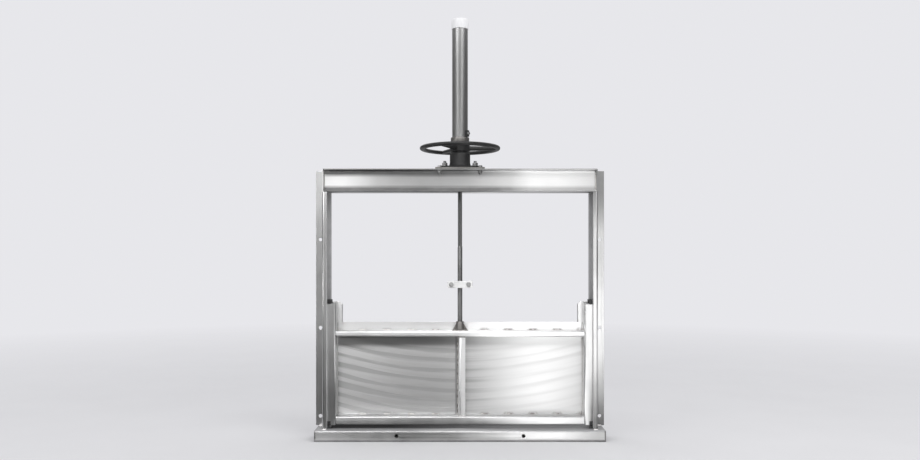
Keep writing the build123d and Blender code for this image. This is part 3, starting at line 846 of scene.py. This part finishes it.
def add_stem():
    """Stem with its thread: a plain foot, then rings that follow the screw, and a small cone at the tip."""
    low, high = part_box("stem")
    centre_x, centre_y = (low.x + high.x) / 2, (low.y + high.y) / 2
    radius = (high.x - low.x) / 2

    def section(z, depth_at):
        ring = []
        for i in range(THREAD_SIDES):
            turn = i / THREAD_SIDES
            r = radius - depth_at(turn)
            angle = 2 * math.pi * turn
            ring.append((centre_x + r * math.cos(angle), centre_y + r * math.sin(angle), z))
        return ring

    def thread(z):
        def depth(turn):
            phase = ((z - THREAD_START) / THREAD_LEAD + turn) % 1.0
            rise = min(1.0, max(0.0, FLANK_SLOPE * abs(phase - 0.5) - FLANK_START))
            return THREAD_DEPTH * (1 - rise)
        return depth

    rings = [section(z, lambda turn: 0.0) for z in (low.z, THREAD_START - THREAD_RUN_IN)]
    steps = int((high.z - STEM_TIP - THREAD_START) / THREAD_LEAD * THREAD_STEPS)
    for k in range(steps + 1):
        z = THREAD_START + k * THREAD_LEAD / THREAD_STEPS
        rings.append(section(z, thread(z)))
    rings.append(section(high.z, lambda turn: STEM_TIP_CUT))
    shape = Shape()
    shape.loft(rings)
    stem = shape.piece("threaded_stem", "gate", "stem_steel", "stem_steel", THREAD_SHARP_ANGLE)
    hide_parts("stem")


def square_to(axis):
    axis = Vector(axis).normalized()
    u = axis.orthogonal().normalized()
    return axis, u, axis.cross(u)


def round_ring(centre, u, v, radius, count):
    turns = [2 * math.pi * i / count for i in range(count)]
    return [centre + (u * math.cos(t) + v * math.sin(t)) * radius for t in turns]


def turned(shape, seat, axis, outline, count):
    """Skin of rings from an outline of (distance along the axis, radius)."""
    axis, u, v = square_to(axis)
    shape.loft([round_ring(Vector(seat) + axis * along, u, v, radius, count) for along, radius in outline])


def scaled(outline, height, radius):
    return [(height * along, radius * share) for along, share in outline]


def washer(shape, seat, axis, size):
    """Washer on its seat: returns the place on top of it."""
    turned(shape, seat, axis, scaled(WASHER_OUTLINE, size["washer"], size["washer_r"]), WASHER_SIDES)
    return Vector(seat) + Vector(axis).normalized() * size["washer"]


def hexagon(shape, seat, axis, size, height):
    """Bolt head or nut on its seat: returns the place on top of it."""
    turned(shape, seat, axis, scaled(HEXAGON_OUTLINE, height, size["across"] / math.sqrt(3)), 6)
    return Vector(seat) + Vector(axis).normalized() * height


def thread_end(shape, seat, axis, size, length):
    r = size["thread_r"]
    pitch = r * THREAD_END_PITCH
    outline = []
    for k in range(int(length / pitch)):
        outline += [(k * pitch, r), (k * pitch + pitch * 0.5, r * THREAD_END_ROOT)]
    outline += [(length - pitch * back, r * share) for back, share in THREAD_END_TIP]
    turned(shape, seat, axis, outline, THREAD_END_SIDES)


def bolt(shape, seat, axis, size):
    hexagon(shape, washer(shape, seat, axis, size), axis, size, size["head"])


def nut(shape, seat, axis, size, proud):
    top = hexagon(shape, washer(shape, seat, axis, size), axis, size, size["nut"])
    thread_end(shape, top, axis, size, proud)


def add_fasteners():
    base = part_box("base_plate")
    stem_y = (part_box("stem")[0].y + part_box("stem")[1].y) / 2
    shape = Shape()
    for x in (-FOOT_STUD_X, FOOT_STUD_X):
        for y in (stem_y - FOOT_STUD_Y, stem_y + FOOT_STUD_Y):
            nut(shape, (x, y, base[1].z + FOOT_FLANGE), UP, M16, FOOT_STUD_PROUD)
    shape.piece("pedestal_nuts", "frame", "stainless", "fastener")
    shape = Shape()
    for x in (-BASE_BOLT_X, BASE_BOLT_X):
        for y in (base[0].y + BASE_BOLT_INSET_FRONT, base[1].y - BASE_BOLT_INSET_REAR):
            bolt(shape, (x, y, base[1].z), UP, M12)
            nut(shape, (x, y, base[0].z - YOKE_SHEET), DOWN, M12, BASE_BOLT_PROUD)
    shape.piece("base_plate_bolts", "frame", "stainless", "fastener")
    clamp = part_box("stop_clamp_front")
    middle = (clamp[0].z + clamp[1].z) / 2
    shape = Shape()
    for x in (-CLAMP_BOLT_X, CLAMP_BOLT_X):
        bolt(shape, (x, stem_y - CLAMP_LUG, middle), FRONT, M12)
        nut(shape, (x, stem_y + CLAMP_LUG, middle), REAR, M12, CLAMP_BOLT_PROUD)
    shape.piece("clamp_bolts", "gate", "stainless", "fastener")
    lug_low, lug_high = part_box("hood_lug")
    outward = Vector((math.cos(LOCK_SCREW_ANGLE), math.sin(LOCK_SCREW_ANGLE), 0))
    seat = Vector((0, stem_y, (lug_low.z + lug_high.z) / 2)) + outward * LOCK_SCREW_SEAT
    shape = Shape()
    bolt(shape, seat, outward, M8)
    shape.piece("hood_lock_screw", "handwheel", "stainless", "fastener")


def bead(shape, start, end, side_a, side_b, leg=BEAD_LEG):
    """Fillet weld along a corner, rippled, with rounded ends.

    side_a and side_b point out of the corner along its two faces.
    """
    start, end = Vector(start), Vector(end)
    a, b = Vector(side_a), Vector(side_b)
    length = (end - start).length
    along = (end - start).normalized()
    steps = max(BEAD_LEAST_STEPS, int(length / BEAD_RIPPLE))
    rings = []
    for i in range(steps + 1):
        t = i / steps
        from_end = min(t, 1 - t) * length
        fade = math.sqrt(max(0.0, 1 - max(0.0, 1 - from_end / leg) ** 2))
        place = start + along * (t * length)
        wander = noise.noise(place * BEAD_WANDER_SCALE)
        size = leg * (BEAD_TIP + (1 - BEAD_TIP) * fade) * (1 + BEAD_WANDER * wander + BEAD_STEP * (i % 2))
        ring = [place - (a + b) * BEAD_SINK]
        for k in range(BEAD_ARC + 1):
            s = k / BEAD_ARC
            bulge = BEAD_BULGE * math.sin(math.pi * s)
            ring.append(place + a * size * (1 - s + bulge) + b * size * (s + bulge))
        rings.append(ring)
    shape.loft(rings)


def stitches(shape, start, end, side_a, side_b, centres):
    """Stitch beads along a line, each centred at a distance from its start."""
    start, end = Vector(start), Vector(end)
    along = (end - start).normalized()
    for centre in centres:
        middle = start + along * centre
        bead(shape, middle - along * STITCH / 2, middle + along * STITCH / 2, side_a, side_b)


def pitch_marks(length, pitch, margin):
    """Distances at an even pitch, centred on a length and kept a margin off its ends."""
    count = int((length - 2 * margin) / pitch)
    first = (length - count * pitch) / 2
    return [first + i * pitch for i in range(count + 1)]


def add_gate_welds():
    top_rib, bottom_rib, centre_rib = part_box("top_rib"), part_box("bottom_rib"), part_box("centre_rib")
    y = PLATE_FACE_Y
    left, right = top_rib[0].x, top_rib[1].x
    low_z, high_z = bottom_rib[1].z, top_rib[0].z
    shape = Shape()
    marks = [k * STITCH_PITCH - left for k in range(-STITCHES_A_SIDE, STITCHES_A_SIDE + 1)]
    for z, facing in ((top_rib[1].z, UP), (high_z, DOWN), (low_z, UP)):
        stitches(shape, (left, y, z), (right, y, z), FRONT, facing, marks)
    rib_left, rib_right, rib_y = centre_rib[0].x, centre_rib[1].x, centre_rib[0].y
    bead(shape, (rib_left, y, low_z), (rib_left, y, high_z), FRONT, LEFT)
    for z, facing in ((low_z, UP), (high_z, DOWN)):
        bead(shape, (rib_left, rib_y, z), (rib_right, rib_y, z), FRONT, facing, SMALL_LEG)
    for side in (-1, 1):
        x = side * right
        bead(shape, (x, y, low_z), (x, y, GATE_TOP), FRONT, (-side, 0, 0), SEAM_LEG)
    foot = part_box("stem_foot")
    for x, side in ((foot[0].x, -1), (foot[1].x, 1)):
        bead(shape, (x, foot[0].y, foot[0].z), (x, foot[1].y, foot[0].z), (side, 0, 0), UP)
    bead(shape, (foot[0].x, foot[0].y, foot[0].z), (foot[1].x, foot[0].y, foot[0].z), FRONT, UP)
    shape.piece("gate_welds", "gate", "stainless", "weld")


def add_frame_welds():
    sill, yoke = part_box("sill"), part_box("yoke_front")
    foot_z, head_z = sill[1].z, yoke[0].z
    web_y = yoke[1].y - YOKE_SHEET
    web_low, web_high = yoke[0].z + YOKE_SHEET, yoke[1].z - YOKE_SHEET
    marks = pitch_marks(head_z - foot_z, GUIDE_STITCH_PITCH, STITCH)
    shape = Shape()
    for side, name in ((-1, "left"), (1, "right")):
        guide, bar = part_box("guide_" + name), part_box("wall_bar_" + name)
        outward, inward = (side, 0, 0), (-side, 0, 0)
        outer = guide[0].x if side < 0 else guide[1].x
        inner = guide[1].x if side < 0 else guide[0].x
        bar_end = max(bar[0].x, sill[0].x) if side < 0 else min(bar[1].x, sill[1].x)
        front_y, bar_y = guide[0].y, bar[0].y
        stitches(shape, (outer, bar_y, foot_z), (outer, bar_y, head_z), outward, FRONT, marks)
        bead(shape, (outer, front_y, foot_z), (outer, bar_y, foot_z), outward, UP)
        bead(shape, (outer, front_y, foot_z), (inner, front_y, foot_z), FRONT, UP)
        bead(shape, (outer, bar_y, foot_z), (bar_end, bar_y, foot_z), FRONT, UP)
        end_x = yoke[0].x if side < 0 else yoke[1].x
        leg = SEAM_LEG if side < 0 else BEAD_LEG
        bead(shape, (end_x, web_y, web_low), (end_x, web_y, web_high), inward, FRONT, leg)
    shape.piece("frame_welds", "frame", "stainless", "weld")


def glow(name, left, right):
    """Light of a card, from its level at the left edge to its level at the right."""
    material = bpy.data.materials.new(name)
    material.use_nodes = True
    tree = material.node_tree
    tree.nodes.clear()
    light = tree.nodes.new("ShaderNodeEmission")
    light.inputs["Strength"].default_value = left
    if right != left:
        place = tree.nodes.new("ShaderNodeTexCoord")
        split = tree.nodes.new("ShaderNodeSeparateXYZ")
        ramp = tree.nodes.new("ShaderNodeMapRange")
        ramp.inputs["To Min"].default_value = left
        ramp.inputs["To Max"].default_value = right
        tree.links.new(place.outputs["UV"], split.inputs[0])
        tree.links.new(split.outputs[0], ramp.inputs["Value"])
        tree.links.new(ramp.outputs[0], light.inputs["Strength"])
    out = tree.nodes.new("ShaderNodeOutputMaterial")
    tree.links.new(light.outputs[0], out.inputs[0])
    return material


def card(name, corners, left, right=None):
    """A studio card that only reflections see."""
    mesh = bpy.data.meshes.new(name)
    mesh.from_pydata(corners, [], [(0, 1, 2, 3)])
    across = mesh.uv_layers.new()
    for place, uv in zip(across.data, ((0, 0), (1, 0), (1, 1), (0, 1))):
        place.uv = uv
    mesh.materials.append(glow(name, left, left if right is None else right))
    piece = bpy.data.objects.new(name, mesh)
    piece.visible_camera = False
    piece.visible_diffuse = False
    piece.visible_shadow = False
    scene.collection.objects.link(piece)


def front_card(name, x_range, z_range, left, right=None, y=FRONT_Y):
    """Card that stands across the view, in front unless a place is given."""
    (x0, x1), (z0, z1) = x_range, z_range
    card(name, [(x0, y, z0), (x1, y, z0), (x1, y, z1), (x0, y, z1)], left, right)


def side_card(name, x, y_range, z_range, level):
    """Card that stands along the view, at one side."""
    (y0, y1), (z0, z1) = y_range, z_range
    card(name, [(x, y0, z0), (x, y1, z0), (x, y1, z1), (x, y0, z1)], level)


def floor_card(name, far, near, left, right=None):
    """Card on the floor: its left and right ends at its far and near edges."""
    (y0, y1), z = FLOOR_Y, CARD_LIFT
    card(name, [(far[0], y0, z), (far[1], y0, z), (near[1], y1, z), (near[0], y1, z)], left, right)


def add_cards():
    """What the metal reflects: a dim front, a bright right, bright strips and a soft box up in front."""
    front_card("front_dim", (-CARD_END, CARD_END), WALL_Z, 0.1, y=FRONT_Y - 2 * CARD_GAP)
    front_card("front_ramp", (0.15, 0.95), BRIGHT_Z, 0.1, 2.9)
    front_card("front_right", (0.95, 1.45), BRIGHT_Z, 2.9)
    front_card("front_far_right", (1.45, 2.6), (0.0, 1.05), 2.9)
    front_card("front_left_high", (-1.78, -1.4), (1.75, 2.6), 11.0)
    front_card("front_left_low", (-2.1, -1.68), (0.0, 0.8), 2.0)
    front_card("horizon", (-1.68, 0.1), (0.0, 0.45), 0.9)
    front_card("strip_left", (-6.6, -4.3), STRIP_Z, 1.7)
    front_card("strip_right", (3.0, 4.6), STRIP_Z, 2.2)
    front_card("low_left", (-6.6, -4.0), BRIGHT_Z, 1.4)
    front_card("soft_box", (-CARD_END, 0.1), SOFT_BOX_Z, 9.5)
    front_card("soft_ramp", (0.1, 0.9), SOFT_BOX_Z, 9.5, 5.0)
    front_card("soft_right", (0.9, CARD_END), SOFT_BOX_Z, 5.0)
    floor_card("floor_left", (-7.0, -1.5), (-7.0, -0.72), 0.05)
    floor_card("floor_dim", (-1.5, 0.0), (-0.72, 0.0), 0.1)
    floor_card("floor_ramp", (0.0, 1.0), (0.0, 0.42), 0.1, 2.5)
    floor_card("floor_right", (1.0, 1.9), (0.42, 0.43), 2.5)
    floor_card("floor_edge", (1.9, 2.3), (0.43, 0.66), 2.5, 1.0)
    floor_card("floor_shade", (2.3, 7.0), (0.66, 7.0), 1.0)
    overhead = [(-CARD_END, REAR_Y, WALL_TOP), (CARD_END, REAR_Y, WALL_TOP)]
    overhead += [(CARD_END, OVERHEAD_Y, OVERHEAD_Z), (-CARD_END, OVERHEAD_Y, OVERHEAD_Z)]
    card("overhead_rear", overhead, 1.5)
    side_card("left_dim", -SIDE_X, (FRONT_Y, REAR_Y), WALL_Z, 0.12)
    side_card("right_dim", SIDE_X, (FRONT_Y, REAR_Y), WALL_Z, 0.12)
    side_card("left_bright", -SIDE_X + CARD_GAP, (-6.5, -1.5), (0.3, 1.3), 7.0)
    front_card("rear_dim", (-SIDE_X, SIDE_X), WALL_Z, 0.3, y=REAR_Y)


def lamp(name, place, size, power):
    data = bpy.data.lights.new(name, "AREA")
    data.size = size
    data.energy = power
    piece = bpy.data.objects.new(name, data)
    piece.location = place
    piece.rotation_euler = (Vector(LAMP_AIM) - Vector(place)).to_track_quat("-Z", "Y").to_euler()
    piece.visible_camera = False
    piece.visible_glossy = False
    scene.collection.objects.link(piece)


def floor_finish():
    """Pale floor that fades into the backdrop away from the gate."""
    s = Shader("floor")
    x, y, z = s.axes()
    clouds = s.noise(s.place, scale=2.0, detail=2.0)
    s.set(Base_Color=s.mix(clouds, grey(0.78), grey(0.82)), Roughness=0.9, Specular_IOR_Level=0.0)
    reach = s.math("SQRT", s.plus(s.times(x, x), s.times(y, y)))
    s.set(Alpha=s.spread(reach, FLOOR_FADE, (1, 0)))
    return s.material


def add_floor():
    r = FLOOR_REACH
    mesh = bpy.data.meshes.new("floor")
    mesh.from_pydata([(-r, -r, 0), (r, -r, 0), (r, r, 0), (-r, r, 0)], [], [(0, 1, 2, 3)])
    mesh.materials.append(floor_finish())
    floor = bpy.data.objects.new("floor", mesh)
    scene.collection.objects.link(floor)


def add_studio():
    scene.view_settings.view_transform = "Standard"
    world = bpy.data.worlds.new("studio")
    world.use_nodes = True
    world.node_tree.nodes["Background"].inputs["Color"].default_value = STUDIO_COLOUR
    scene.world = world
    add_floor()
    add_cards()
    lamp("key", **KEY_LAMP)
    lamp("fill", **FILL_LAMP)


for part in frame["record"]["subparts"]:
    dress_node(part["node"], part["material_slot"])
add_gate_plate()
add_stem()
add_fasteners()
add_gate_welds()
add_frame_welds()
add_camera()
add_studio()
